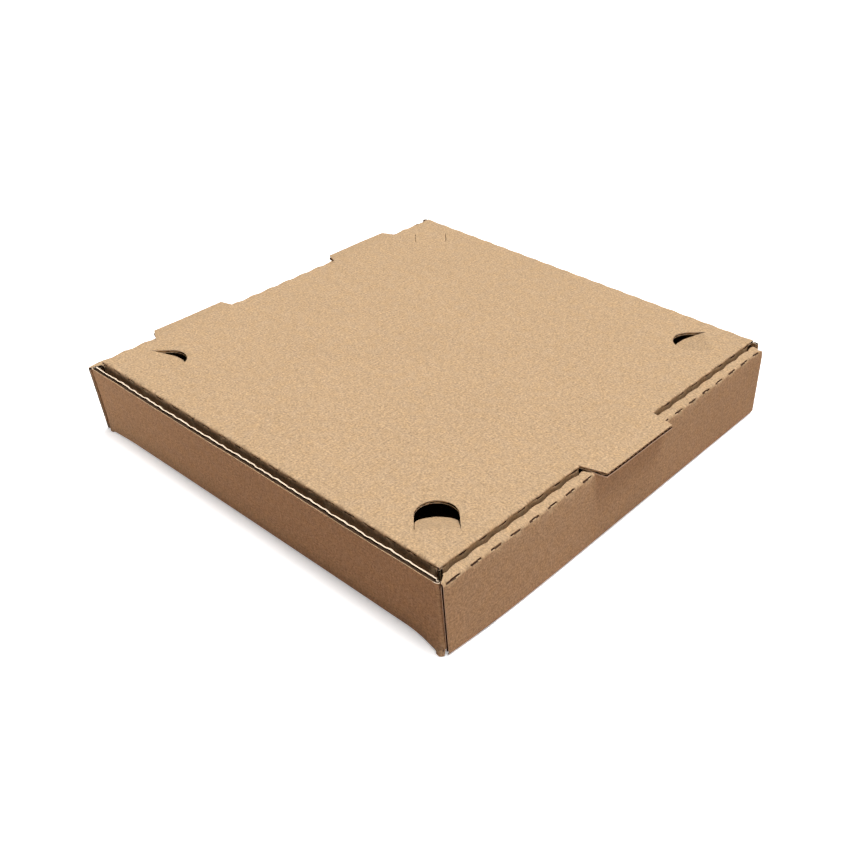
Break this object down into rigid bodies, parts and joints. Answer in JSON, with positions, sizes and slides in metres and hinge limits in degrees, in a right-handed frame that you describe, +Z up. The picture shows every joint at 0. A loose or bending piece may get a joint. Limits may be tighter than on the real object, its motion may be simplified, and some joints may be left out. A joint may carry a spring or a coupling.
{
  "type": "pizza box",
  "caption": "Square shallow takeaway box of thin brown fluted board, with rolled side walls and a vented lid that folds up off the back wall.",
  "frame": {"origin": "on the floor, under the middle of the bottom panel: midway between the two side walls, and midway between the front crease and the back wall's outer face", "axes": "+Z up, +Y towards the back wall and the lid's fold, +X along the fold to the right"},
  "size_m": [0.2688, 0.257, 0.045],
  "materials": {
    "board": "matt unbleached kraft liner on E flute board"
  },
  "bodies": {
    "tray": {"tray": "board"},
    "lid": {"lid": "board"}
  },
  "joints": [
    {"name": "lid_hinge", "type": "hinge", "parent": "tray", "child": "lid", "pos_m": [0, 0.1265, 0.045], "axis": [-1, 0, 0], "range_deg": [0, 180]}
  ]
}
